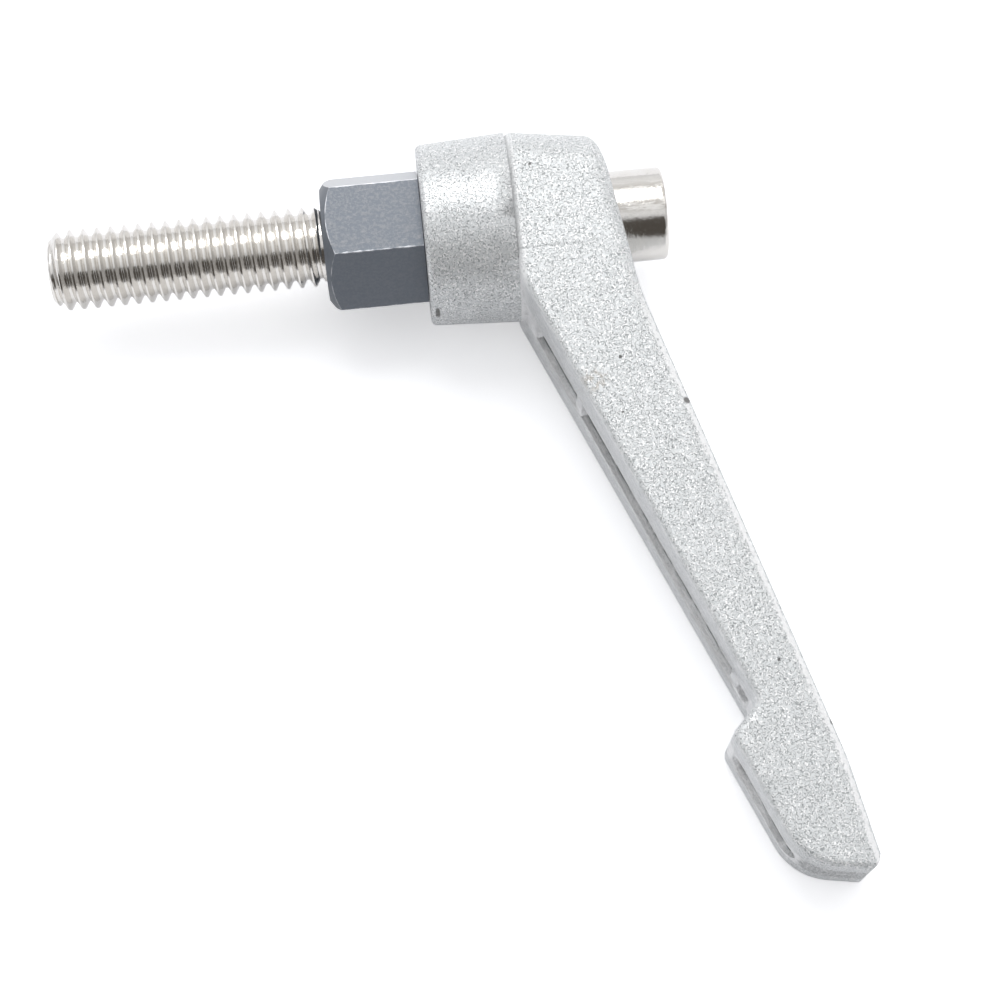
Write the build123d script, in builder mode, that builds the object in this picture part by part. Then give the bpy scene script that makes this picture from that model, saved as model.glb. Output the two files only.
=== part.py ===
"""Adjustable clamping lever with an M6 stud, lying on its side.

A die-cast lever sits over a hexagonal steel insert. 24 teeth inside the foot of its hub mesh with 24 teeth
on the insert. A cap screw with a plain shoulder passes through the hub into the insert, and a spring under
its head holds the teeth in mesh. Pulling the lever up by the lift frees it to turn.

Frame: millimetres, +Z up. The stud's axis lies along X with its tip towards -X. The origin is on that axis,
in the face of the hexagon that seats on the clamped part. The lever's arm points along -Y and leans down,
so that the hub and the toe both touch the surface that the lever lies on.
"""

import os
from math import asin, atan2, cos, degrees, hypot, radians, sin, sqrt, tan

from build123d import *

os.makedirs("parts", exist_ok=True)

# ---- Driving dimensions ---------------------------------------------------------------------------------

# Threaded stud, M6 x 1
thread_dia = 6.0
stud_length = 20.0
stud_tip_chamfer = 0.75
stud_grip = 6.6
stud_grip_dia = 5.35
stud_relief = 0.3
tap_clearance = 0.02
tap_run_out = 0.6
tap_mouth_dia = 6.4

# Hexagonal insert
hex_across_flats = 9.0
hex_length = 7.2
hex_face_dia = 8.15
hex_chamfer_angle = 35.0
hex_roll = 2.0
neck_dia = 7.9
neck_length = 6.6
neck_chamfer = 0.3

# Teeth between the insert and the lever
tooth_count = 24
tooth_root_dia = 8.1
tooth_height = 0.45
tooth_base_width = 0.84
tooth_flank_angle = 56.0
tooth_start = 0.3
tooth_length = 2.3
tooth_clearance = 0.05
seat_clearance = 0.05

# Retaining screw, M4 with a shoulder
screw_dia = 4.0
screw_grip = 4.4
shoulder_dia = 4.6
shoulder_length = 7.2
head_dia = 6.8
head_height = 4.0
head_edge_radius = 0.3
socket_across_flats = 3.0
socket_depth = 2.0

# Spring
wire_dia = 0.5
spring_dia = 6.5
spring_turns = 5.5
spring_end_clearance = 0.03

# Hub of the lever
collar_foot_dia = 13.2
collar_dia = 13.9
collar_height = 6.5
collar_edge_radius = 0.4
crown_dia = 11.9
hub_half_width = 5.7
flat_edge_radius = 2.5
top_height = 13.95
top_angle = 8.0
top_edge_radius = 1.2

# Bore of the lever
mouth_depth = 0.35
mouth_clearance = 0.15
guide_clearance = 0.08
ledge_clearance = 0.2
ledge_thickness = 1.0
shoulder_clearance = 0.2
head_clearance = 0.25

# Arm of the lever, with distances along it measured square to the stud's axis
heel_inset = 1.2
heel_radius = 3.0
arm_angle = 22.1
neck_reach = 37.7
neck_radius = 0.9
shoulder_reach = 39.8
shoulder_step = 2.1
shoulder_radius = 0.9
toe_heel_reach = 49.0
toe_heel_radius = 4.5
tip_radius = 12.0
reach = 50.0
toe_half_width = 3.9
toe_top_reach = 42.0
toe_top_angle = 11.5
top_bend_reach = 7.4
arm_top_angle = 16.4
top_bend_radius = 20.0
lower_edge_radius = 0.5

# Hollows in the underside of the arm
channel_width = 3.0
channel_start = 8.2
channel_end = 34.8
channel_skin = 2.3
channel_end_radius = 1.2
web_reach = 13.8
web_thickness = 0.7
neck_pocket_reach = 36.35
neck_pocket_length = 1.4
neck_pocket_width = 2.2
neck_pocket_depth = 0.9
toe_pocket_reach = 44.4
toe_pocket_length = 8.2
toe_pocket_depth = 3.4
pocket_draft = 4.0

# Extra size of blanks and cutters past the finished faces, and the tolerance for choosing edges by place
stock = 3.0
pick = 0.3

# ---- Derived places -------------------------------------------------------------------------------------

# The flats of the hub run out of its round collar, and from there on the sides of the arm taper
flat_half_length = sqrt(collar_dia**2 / 4 - hub_half_width**2)
side_slope = (hub_half_width - toe_half_width) / (reach - flat_half_length)

# The lever leans until its collar and the lower side of its toe touch one plane
toe_contact = reach - top_edge_radius
contact_half_width = toe_half_width + top_edge_radius * side_slope
lean = degrees(
    asin(collar_dia / 2 / hypot(toe_contact, contact_half_width)) - atan2(contact_half_width, toe_contact)
)

# The underside of the arm starts a little inside the edge of the collar
heel_reach = collar_dia / 2 - heel_inset

hub_foot = hex_length + seat_clearance
neck_top = hex_length + neck_length
teeth_low = hex_length + tooth_start
teeth_high = teeth_low + tooth_length
ledge_low = neck_top + ledge_clearance
ledge_high = ledge_low + ledge_thickness
head_seat = neck_top + shoulder_length
pocket_dia = head_dia + 2 * head_clearance

# Planes: one square to the stud's axis, and the lever's own middle plane with its origin in the hub's foot
square_plane = Plane.YZ.rotated((lean, 0, 0))
lever_plane = Plane.XY.rotated((lean, 0, 0)).move(Location((hub_foot, 0, 0)))
stud_axis = Axis((0, 0, 0), (1, 0, 0))


def teeth(clearance=0.0):
    """Sketch the ring of straight teeth on the root circle, each flank and tip moved out by a clearance."""
    flank = radians(tooth_flank_angle)
    height = tooth_height + clearance
    sink = tooth_height
    width = tooth_base_width + 2 * clearance / sin(flank) + 2 * sink / tan(flank)
    middle = tooth_root_dia / 2 + (height - sink) / 2
    with PolarLocations(middle, tooth_count):
        Trapezoid(width, height + sink, tooth_flank_angle, rotation=-90)


# ---- Threaded stud --------------------------------------------------------------------------------------

with BuildPart() as threaded_stud:
    with BuildSketch(Plane.YZ.offset(-stud_length)):
        Circle(thread_dia / 2)
    extrude(amount=stud_length - stud_relief)
    chamfer(threaded_stud.edges().filter_by(GeomType.CIRCLE).sort_by(Axis.X)[0], stud_tip_chamfer)
    # The length held in the insert, which starts as a short relief in front of the seating face
    with BuildSketch(Plane.YZ.offset(-stud_relief)):
        Circle(stud_grip_dia / 2)
    extrude(amount=stud_relief + stud_grip)
threaded_stud.part.label = "threaded_stud"

# ---- Hexagonal insert -----------------------------------------------------------------------------------

hex_corner = hex_across_flats / sqrt(3)
hex_chamfer_depth = (hex_corner - hex_face_dia / 2) * tan(radians(hex_chamfer_angle))

with BuildPart() as hex_insert:
    with BuildSketch(Plane.YZ.rotated((hex_roll, 0, 0))):
        RegularPolygon(hex_corner, 6, rotation=0)
    extrude(amount=hex_length)
    # The chamfer that rounds the corners of the hexagon at its seating face
    with BuildSketch(Plane.XY):
        with BuildLine():
            Polyline(
                (0, hex_face_dia / 2),
                (hex_chamfer_depth, hex_corner),
                (hex_chamfer_depth, hex_corner + stock),
                (-stock, hex_corner + stock),
                (-stock, hex_face_dia / 2),
                close=True,
            )
        make_face()
    revolve(axis=stud_axis, mode=Mode.SUBTRACT)
    # The neck that guides the lever
    with BuildSketch(Plane.YZ.offset(hex_length)):
        Circle(neck_dia / 2)
    extrude(amount=neck_length)
    chamfer(hex_insert.edges().filter_by(GeomType.CIRCLE).sort_by(Axis.X)[-1], neck_chamfer)
    # The toothed collar
    with BuildSketch(square_plane.offset(teeth_low)):
        Circle(tooth_root_dia / 2)
        teeth()
    extrude(amount=tooth_length)
    # Tapped holes for the stud, countersunk at its mouth, and for the retaining screw
    with BuildSketch(Plane.YZ):
        Circle(stud_grip_dia / 2 + tap_clearance)
    extrude(amount=stud_grip + tap_run_out, mode=Mode.SUBTRACT)
    mouth = [edge for edge in hex_insert.edges().filter_by(GeomType.CIRCLE).filter_by_position(Axis.X, -pick, pick)]
    chamfer(sorted(mouth, key=lambda edge: edge.radius)[0], (tap_mouth_dia - stud_grip_dia) / 2 - tap_clearance)
    with BuildSketch(Plane.YZ.offset(neck_top)):
        Circle(screw_dia / 2 + tap_clearance)
    extrude(amount=-(screw_grip + tap_run_out), mode=Mode.SUBTRACT)
hex_insert.part.label = "hex_insert"

# ---- Retaining screw ------------------------------------------------------------------------------------

with BuildPart() as retaining_screw:
    with BuildSketch(Plane.YZ.offset(neck_top)):
        Circle(screw_dia / 2)
    extrude(amount=-screw_grip)
    with BuildSketch(Plane.YZ.offset(neck_top)):
        Circle(shoulder_dia / 2)
    extrude(amount=shoulder_length)
    with BuildSketch(Plane.YZ.offset(head_seat)):
        Circle(head_dia / 2)
    extrude(amount=head_height)
    fillet(retaining_screw.edges().filter_by(GeomType.CIRCLE).sort_by(Axis.X)[-1], head_edge_radius)
    with BuildSketch(Plane.YZ.offset(head_seat + head_height)):
        RegularPolygon(socket_across_flats / sqrt(3), 6)
    extrude(amount=-socket_depth, mode=Mode.SUBTRACT)
retaining_screw.part.label = "retaining_screw"

# ---- Compression spring ---------------------------------------------------------------------------------

spring_start = ledge_high + spring_end_clearance
spring_length = head_seat - ledge_high - 2 * spring_end_clearance

with BuildPart() as compression_spring:
    with BuildLine():
        coil = Helix(
            pitch=spring_length / spring_turns,
            height=spring_length,
            radius=(spring_dia - wire_dia) / 2,
            center=(spring_start, 0, 0),
            direction=(1, 0, 0),
        )
    with BuildSketch(Plane(origin=coil @ 0, z_dir=coil % 0)):
        Circle(wire_dia / 2)
    sweep(is_frenet=True)
    # Ends ground flat
    with BuildSketch(Plane.YZ.offset(spring_start)):
        Circle(spring_dia)
    extrude(amount=spring_length, mode=Mode.INTERSECT)
compression_spring.part.label = "compression_spring"

# ---- Lever ----------------------------------------------------------------------------------------------

arm_slope = tan(radians(arm_angle))
arm_top_slope = tan(radians(arm_top_angle))
toe_top_slope = tan(radians(toe_top_angle))
top_slope = tan(radians(top_angle))

# Corners of the lever's side view, as height above the hub's foot and distance from the stud's axis
neck = (collar_height + (neck_reach - heel_reach) * arm_slope, -neck_reach)
shoulder = (neck[0] - shoulder_step, -shoulder_reach)
toe_heel = (shoulder[0] + (toe_heel_reach - shoulder_reach) * arm_slope, -toe_heel_reach)
top_bend = (top_height + top_bend_reach * top_slope, -top_bend_reach)
toe_top = (top_bend[0] + (toe_top_reach - top_bend_reach) * arm_top_slope, -toe_top_reach)
toe_tip = (toe_top[0] + (reach - toe_top_reach) * toe_top_slope, -reach)

# How fast the crown of the hub narrows towards the top
crown_slope = (collar_dia - crown_dia) / 2 / (top_height - collar_height)

stock_height = toe_tip[0] + stock
stock_reach = reach + stock
plan_plane = Plane(origin=lever_plane.origin, x_dir=lever_plane.x_dir, z_dir=-lever_plane.y_dir)


def on_lever(edge):
    """The middle of an edge in the lever's own frame."""
    return lever_plane.to_local_coords(edge @ 0.5)


def top_line(distance):
    """Height of the finished top above the hub's foot, at a distance from the stud's axis."""
    if distance < top_bend_reach:
        return top_height + distance * top_slope
    if distance < toe_top_reach:
        return top_bend[0] + (distance - top_bend_reach) * arm_top_slope
    return toe_top[0] + (distance - toe_top_reach) * toe_top_slope


def arm_underside(distance):
    """Height of the arm's underside above the hub's foot."""
    return collar_height + (distance - heel_reach) * arm_slope


def toe_underside(distance):
    """Height of the toe's underside above the hub's foot."""
    return shoulder[0] + (distance - shoulder_reach) * arm_slope


def channel_floor(distance):
    """Height of the channel's floor above the hub's foot, a skin's thickness under the arm's top."""
    return top_bend[0] + (distance - top_bend_reach) * arm_top_slope - channel_skin / cos(radians(arm_top_angle))


def underside_plane(height, distance):
    """A plane lying on the underside, facing out, with its first axis running down the arm."""
    run = lever_plane.x_dir * sin(radians(arm_angle)) - lever_plane.y_dir * cos(radians(arm_angle))
    return Plane(
        origin=lever_plane.from_local_coords((height, -distance, 0)),
        x_dir=run,
        z_dir=run.cross(lever_plane.z_dir),
    )


def on_lower_run(place):
    """Whether an edge's middle lies on the sharp outline of the underside or round the tip of the toe."""
    side = hub_half_width - (-place.Y - flat_half_length) * side_slope
    under = place.X < top_line(-place.Y) - top_edge_radius - pick and abs(place.Z) > side - pick
    return (under and place.Y < pick - heel_reach) or place.Y < pick - reach


with BuildPart() as lever_handle:
    # Arm and toe: the underside's outline, with stock left on top
    with BuildSketch(lever_plane):
        with BuildLine():
            underside = FilletPolyline(
                (collar_height, 0),
                (collar_height, -heel_reach),
                neck,
                shoulder,
                toe_heel,
                toe_tip,
                (stock_height, -reach),
                radius=(heel_radius, neck_radius, shoulder_radius, toe_heel_radius, tip_radius),
            )
            Polyline(underside @ 1, (stock_height, 0), underside @ 0)
        make_face()
    extrude(amount=collar_dia / 2, both=True)
    # Tapering width of the arm
    with BuildSketch(square_plane):
        with BuildLine():
            Polyline(
                (flat_half_length, 0),
                (flat_half_length, hub_half_width),
                (-flat_half_length, hub_half_width),
                (-stock_reach, toe_half_width - stock * side_slope),
                (-stock_reach, 0),
            )
            mirror(about=Plane.XZ)
        make_face()
    extrude(amount=hub_foot + stock_height, mode=Mode.INTERSECT)
    # Crown of the hub, turned, with a flat on each side
    with BuildSketch(lever_plane):
        with BuildLine():
            Polyline(
                (collar_height, 0),
                (collar_height, collar_dia / 2),
                (stock_height, collar_dia / 2 - (stock_height - collar_height) * crown_slope),
                (stock_height, 0),
                close=True,
            )
        make_face()
    revolve(axis=stud_axis)
    with BuildSketch(plan_plane):
        for side in (1, -1):
            with Locations((collar_height, side * hub_half_width)):
                Rectangle(stock_height, collar_dia, align=(Align.MIN, Align.MIN if side > 0 else Align.MAX))
    extrude(amount=collar_dia, both=True, mode=Mode.SUBTRACT)
    flat_edges = [
        edge
        for edge in lever_handle.edges().filter_by(GeomType.CIRCLE, reverse=True).filter_by(GeomType.LINE, reverse=True)
        if on_lever(edge).Y > 0 and abs(abs(on_lever(edge).Z) - hub_half_width) < pick
    ]
    fillet(flat_edges, flat_edge_radius)
    # Slanted top, running into the back of the arm and the toe
    with BuildSketch(lever_plane):
        with BuildLine():
            top = FilletPolyline(
                (top_line(-collar_dia), collar_dia),
                top_bend,
                toe_top,
                (top_line(stock_reach), -stock_reach),
                radius=top_bend_radius,
            )
            Polyline(top @ 1, (2 * stock_height, -stock_reach), (2 * stock_height, collar_dia), top @ 0)
        make_face()
    extrude(amount=collar_dia, both=True, mode=Mode.SUBTRACT)
    # Rounded edges: along the top first, then along the underside and round the tip
    top_edges = [
        edge
        for edge in lever_handle.edges()
        if abs(on_lever(edge).X - top_line(-on_lever(edge).Y)) < pick
        and (abs(on_lever(edge).Z) > toe_half_width / 2 or on_lever(edge).Y > flat_half_length)
    ]
    fillet(top_edges, top_edge_radius)
    lower_edges = [edge for edge in lever_handle.edges() if on_lower_run(on_lever(edge))]
    fillet(lower_edges, lower_edge_radius)
    # Round collar at the foot
    with BuildSketch(lever_plane):
        with BuildLine():
            Polyline(
                (0, 0),
                (0, collar_foot_dia / 2),
                (collar_height, collar_dia / 2),
                (collar_height, 0),
                close=True,
            )
        make_face()
    revolve(axis=stud_axis)
    fillet(lever_handle.edges().sort_by(Axis.X)[0], collar_edge_radius)
    # Channel in the underside of the arm, in two lengths with a web between them
    with BuildSketch(lever_plane):
        for start, end in ((channel_start, web_reach), (web_reach + web_thickness, channel_end)):
            with BuildLine():
                floor = FilletPolyline(
                    (arm_underside(start) - stock, -start),
                    (channel_floor(start), -start),
                    (channel_floor(end), -end),
                    (arm_underside(end) - stock, -end),
                    radius=channel_end_radius,
                )
                Line(floor @ 1, floor @ 0)
            make_face()
    extrude(amount=channel_width / 2, both=True, mode=Mode.SUBTRACT)
    # Small pocket at the neck, and the round-ended one in the toe
    with BuildSketch(underside_plane(arm_underside(neck_pocket_reach), neck_pocket_reach)):
        RectangleRounded(neck_pocket_length, neck_pocket_width, neck_pocket_length / 3)
    extrude(amount=-neck_pocket_depth, mode=Mode.SUBTRACT)
    with BuildSketch(underside_plane(toe_underside(toe_pocket_reach), toe_pocket_reach)):
        SlotOverall(toe_pocket_length, channel_width)
    extrude(amount=-toe_pocket_depth, taper=pocket_draft, mode=Mode.SUBTRACT)
    # Stepped bore for the insert, the shoulder, and the spring with the screw's head
    with BuildSketch(lever_plane):
        with BuildLine():
            Polyline(
                (0, 0),
                (0, tooth_root_dia / 2 + tooth_height + mouth_clearance),
                (mouth_depth, tooth_root_dia / 2 + tooth_height + mouth_clearance),
                (mouth_depth, tooth_root_dia / 2 + tooth_clearance),
                (teeth_high + tooth_clearance - hub_foot, tooth_root_dia / 2 + tooth_clearance),
                (teeth_high + tooth_clearance - hub_foot, neck_dia / 2 + guide_clearance),
                (ledge_low - hub_foot, neck_dia / 2 + guide_clearance),
                (ledge_low - hub_foot, shoulder_dia / 2 + shoulder_clearance),
                (ledge_high - hub_foot, shoulder_dia / 2 + shoulder_clearance),
                (ledge_high - hub_foot, pocket_dia / 2),
                (stock_height, pocket_dia / 2),
                (stock_height, 0),
                close=True,
            )
        make_face()
    revolve(axis=stud_axis, mode=Mode.SUBTRACT)
    # Inner teeth: grooves that clear the teeth of the insert
    with BuildSketch(square_plane.offset(hub_foot)):
        teeth(tooth_clearance)
    extrude(amount=teeth_high + tooth_clearance - hub_foot, mode=Mode.SUBTRACT)
lever_handle.part.label = "lever_handle"

# ---- Files ----------------------------------------------------------------------------------------------

for piece in (threaded_stud, hex_insert, retaining_screw, compression_spring, lever_handle):
    export_step(piece.part, f"parts/{piece.part.label}.step")
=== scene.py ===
"""Adjustable clamping lever: stage, thread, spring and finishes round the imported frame.

Lengths are metres. The stud's axis is X with its tip towards -X, +Z is up, and the arm points along -Y.
"""

import math
from contextlib import contextmanager

import bmesh
import bpy
import numpy as np
from bpy.props import FloatProperty, FloatVectorProperty, IntProperty, PointerProperty
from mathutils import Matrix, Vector


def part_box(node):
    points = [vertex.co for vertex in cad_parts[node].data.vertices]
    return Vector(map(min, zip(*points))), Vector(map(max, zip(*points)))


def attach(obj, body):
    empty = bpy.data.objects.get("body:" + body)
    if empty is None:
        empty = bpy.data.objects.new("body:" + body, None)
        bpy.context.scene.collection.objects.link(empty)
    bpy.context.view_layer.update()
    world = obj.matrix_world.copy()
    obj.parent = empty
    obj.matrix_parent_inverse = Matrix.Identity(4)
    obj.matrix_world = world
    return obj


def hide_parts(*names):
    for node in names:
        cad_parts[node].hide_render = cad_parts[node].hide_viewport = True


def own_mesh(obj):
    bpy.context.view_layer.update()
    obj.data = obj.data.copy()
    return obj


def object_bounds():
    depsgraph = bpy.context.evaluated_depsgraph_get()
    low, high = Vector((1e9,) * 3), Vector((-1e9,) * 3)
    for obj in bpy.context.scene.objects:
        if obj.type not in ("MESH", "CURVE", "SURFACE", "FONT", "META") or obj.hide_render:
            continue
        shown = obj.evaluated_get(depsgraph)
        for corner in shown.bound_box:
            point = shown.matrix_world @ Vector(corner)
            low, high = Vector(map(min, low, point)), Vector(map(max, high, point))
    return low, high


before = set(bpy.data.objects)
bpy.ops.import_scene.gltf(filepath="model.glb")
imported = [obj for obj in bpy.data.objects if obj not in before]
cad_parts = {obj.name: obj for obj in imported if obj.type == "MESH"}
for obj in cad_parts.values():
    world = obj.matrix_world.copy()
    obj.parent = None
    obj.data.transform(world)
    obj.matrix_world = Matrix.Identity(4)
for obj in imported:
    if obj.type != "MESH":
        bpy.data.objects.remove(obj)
CAD_BOX = [list(corner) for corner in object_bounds()]
STUD_LOW, STUD_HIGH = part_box("threaded_stud")
LEVER_LOW, LEVER_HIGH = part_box("lever_handle")
SPRING_LOW, SPRING_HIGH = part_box("compression_spring")
FLOOR_HEIGHT = CAD_BOX[0][2]

bl_info = {
    "name": "Adjustable clamping lever",
    "version": (1, 0, 0),
    "blender": (4, 5, 0),
    "location": "3D View > Sidebar > Clamping lever",
    "description": "Thread, spring, finishes and stage of an adjustable clamping lever",
    "category": "Object",
}

# ---- Sizes and colours ----------------------------------------------------------------------------------


class LeverSizes(bpy.types.PropertyGroup):
    """Sizes of the thread and the spring, and the grain of the finishes."""

    thread_pitch: FloatProperty(
        name="Thread pitch", description="Advance of the thread in one turn", default=0.001, unit="LENGTH"
    )
    thread_crest: FloatProperty(
        name="Thread crest", description="Diameter over the crests", default=0.00588, unit="LENGTH"
    )
    thread_root: FloatProperty(
        name="Thread root", description="Diameter at the roots", default=0.00477, unit="LENGTH"
    )
    thread_grip: FloatProperty(
        name="Thread grip",
        description="Diameter of the length held in the insert",
        default=0.0053,
        unit="LENGTH",
    )
    thread_relief: FloatProperty(
        name="Thread relief",
        description="Where the held length starts before the seat",
        default=0.0003,
        unit="LENGTH",
    )
    thread_chamfer: FloatProperty(
        name="Tip chamfer", description="Chamfer on the stud's tip", default=0.00075, unit="LENGTH"
    )
    thread_segments: IntProperty(
        name="Thread segments", description="Points round one turn of the thread", default=80
    )
    profile_points: IntProperty(
        name="Profile points", description="Points across one pitch of the thread", default=16
    )
    root_flat: FloatProperty(
        name="Root flat",
        description="Half the flat at the thread's root, as a share of the pitch",
        default=0.11,
    )
    flank_angle: FloatProperty(
        name="Flank angle",
        description="Slope of the thread's flanks",
        default=math.radians(60),
        unit="ROTATION",
    )
    spare_turns: IntProperty(
        name="Spare turns",
        description="Turns past either end, where the radius falls to nothing",
        default=5,
    )
    thread_core: FloatProperty(
        name="Thread core",
        description="Radius round the axis that one flat face closes at each end of the stud",
        default=0.0002,
        unit="LENGTH",
    )
    wire_diameter: FloatProperty(
        name="Wire", description="Diameter of the spring's wire", default=0.0005, unit="LENGTH"
    )
    spring_turns: FloatProperty(name="Spring turns", description="Turns of the spring", default=5.5)
    spring_ease: FloatProperty(
        name="Spring ease",
        description="How much the end turns close up, as a share of the length",
        default=0.09,
    )
    spring_steps: IntProperty(name="Spring steps", description="Points along the spring", default=480)
    wire_sides: IntProperty(name="Wire sides", description="Points round the spring's wire", default=16)
    wire_taper: FloatProperty(
        name="Wire taper", description="Share of the spring over which an end narrows", default=0.004
    )
    lift_travel: FloatProperty(
        name="Lift", description="How far the lever lifts", default=0.0026, unit="LENGTH"
    )
    hex_roll: FloatProperty(
        name="Hexagon roll",
        description="Turn of the hexagon about the stud",
        default=math.radians(2.0),
        unit="ROTATION",
    )
    hex_face: FloatProperty(
        name="Hexagon face",
        description="Diameter of the face inside the chamfer",
        default=0.00815,
        unit="LENGTH",
    )
    hex_chamfer: FloatProperty(
        name="Hexagon chamfer",
        description="Angle of the chamfer",
        default=math.radians(35),
        unit="ROTATION",
    )
    collar_top: FloatProperty(
        name="Collar top", description="Where the hub's collar ends", default=0.01375, unit="LENGTH"
    )
    lean: FloatProperty(
        name="Lean",
        description="Lean of the arm towards the floor",
        default=math.radians(3.54),
        unit="ROTATION",
    )
    arm_angle: FloatProperty(
        name="Arm angle",
        description="Slant of the arm's underside",
        default=math.radians(22.1),
        unit="ROTATION",
    )
    underside_start: FloatProperty(
        name="Underside start",
        description="Where the underside's plane would cross the stud's axis",
        default=0.011415,
        unit="LENGTH",
    )
    toe_step: FloatProperty(
        name="Toe step",
        description="Step from the arm's underside to the toe's",
        default=0.00295,
        unit="LENGTH",
    )
    toe_top: FloatProperty(
        name="Toe top",
        description="Top of the lever where the toe's slant starts",
        default=0.03242,
        unit="LENGTH",
    )
    toe_top_reach: FloatProperty(
        name="Toe top reach", description="Where the toe's slant starts", default=0.042, unit="LENGTH"
    )
    arm_top_angle: FloatProperty(
        name="Arm top angle",
        description="Slant of the arm's top",
        default=math.radians(16.4),
        unit="ROTATION",
    )
    ridge_reach: FloatProperty(
        name="Ridge reach",
        description="Where the hub's side ends in the arm's",
        default=0.0038,
        unit="LENGTH",
    )
    neck_reach: FloatProperty(
        name="Neck reach", description="Where the step to the toe starts", default=0.0377, unit="LENGTH"
    )
    neck_length: FloatProperty(
        name="Neck length", description="Length of the step to the toe", default=0.0015, unit="LENGTH"
    )
    tip_radius: FloatProperty(
        name="Tip radius", description="Rounding of the tip of the toe", default=0.0011, unit="LENGTH"
    )
    tip_cuts: IntProperty(name="Tip cuts", description="Steps of the rounding of the tip", default=10)
    tip_zone: FloatProperty(
        name="Tip zone", description="Length of the toe that the cuts reach", default=0.006, unit="LENGTH"
    )
    toe_angle: FloatProperty(
        name="Toe angle", description="Slant of the toe's top", default=math.radians(11.5), unit="ROTATION"
    )
    channel_width: FloatProperty(
        name="Channel width", description="Width of the hollows in the arm", default=0.003, unit="LENGTH"
    )
    channel_depth: FloatProperty(
        name="Channel depth", description="Depth of the hollows in the arm", default=0.0042, unit="LENGTH"
    )
    hex_across_flats: FloatProperty(
        name="Across flats", description="Width of the hexagon", default=0.0090, unit="LENGTH"
    )
    # The streaks it spaces are painted light and shade in the hollows
    light_streak_grain: FloatProperty(
        name="Streak grain",
        description="Spacing of the streaks in the hollows",
        default=0.00013,
        unit="LENGTH",
    )
    edge_grain: FloatProperty(
        name="Edge grain",
        description="Spacing of the raggedness of edges and marks",
        default=0.0004,
        unit="LENGTH",
    )
    hammer_grain: FloatProperty(
        name="Hammer grain",
        description="Spacing of the coat's winding furrows",
        default=0.00017,
        unit="LENGTH",
    )


class LeverFinishes(bpy.types.PropertyGroup):
    """Colours of the finishes, of the light and shade painted on them, and of the floor."""

    coat: FloatVectorProperty(
        name="Coat", description="Silver hammertone coat", subtype="COLOR", default=(0.69, 0.71, 0.715)
    )
    # Also the colour of the painted shade on the hollows' floors and along the ridge
    furrow: FloatVectorProperty(
        name="Furrow", description="Furrows in the coat", subtype="COLOR", default=(0.15, 0.165, 0.17)
    )
    # Also the colour of the painted light and highlights on the lever
    flake_and_painted_light: FloatVectorProperty(
        name="Flake", description="Metal flakes in the coat", subtype="COLOR", default=(1.0, 1.0, 1.0)
    )
    pit: FloatVectorProperty(
        name="Pit", description="Pits and nicks in the coat", subtype="COLOR", default=(0.10, 0.095, 0.09)
    )
    smudge: FloatVectorProperty(
        name="Smudge",
        description="Brownish smudge on the coat",
        subtype="COLOR",
        default=(0.42, 0.37, 0.31),
    )
    oxide: FloatVectorProperty(
        name="Black oxide",
        description="Black oxide on the insert",
        subtype="COLOR",
        default=(0.130, 0.147, 0.172),
    )
    # Also the colour of the painted highlight on the insert's facet turned up to the back
    wear_and_facet_light: FloatVectorProperty(
        name="Worn steel",
        description="Worn edges of the insert",
        subtype="COLOR",
        default=(0.62, 0.63, 0.65),
    )
    # Also the colour of the painted light on the insert's facet facing up
    mottle_and_facet_light: FloatVectorProperty(
        name="Rubbed oxide", description="Oxide rubbed thin", subtype="COLOR", default=(0.25, 0.255, 0.265)
    )
    nickel: FloatVectorProperty(
        name="Nickel", description="Nickel plate", subtype="COLOR", default=(0.77, 0.75, 0.72)
    )
    haze: FloatVectorProperty(
        name="Haze", description="Warm haze on the nickel", subtype="COLOR", default=(0.70, 0.675, 0.635)
    )
    # Also the colour of the painted dull reflection on the screw's head
    speck_and_reflection: FloatVectorProperty(
        name="Speck", description="Specks on the nickel", subtype="COLOR", default=(0.50, 0.475, 0.44)
    )
    wire: FloatVectorProperty(
        name="Wire", description="Spring wire", subtype="COLOR", default=(0.46, 0.46, 0.47)
    )
    oil: FloatVectorProperty(
        name="Oil", description="Trace of oil on the wire", subtype="COLOR", default=(0.33, 0.31, 0.28)
    )
    floor_fleck: FloatVectorProperty(
        name="Floor fleck",
        description="Faint flecks in the floor",
        subtype="COLOR",
        default=(0.8, 0.8, 0.82),
    )
    floor: FloatVectorProperty(
        name="Floor", description="Floor and backdrop", subtype="COLOR", default=(0.90, 0.905, 0.925)
    )


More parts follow.
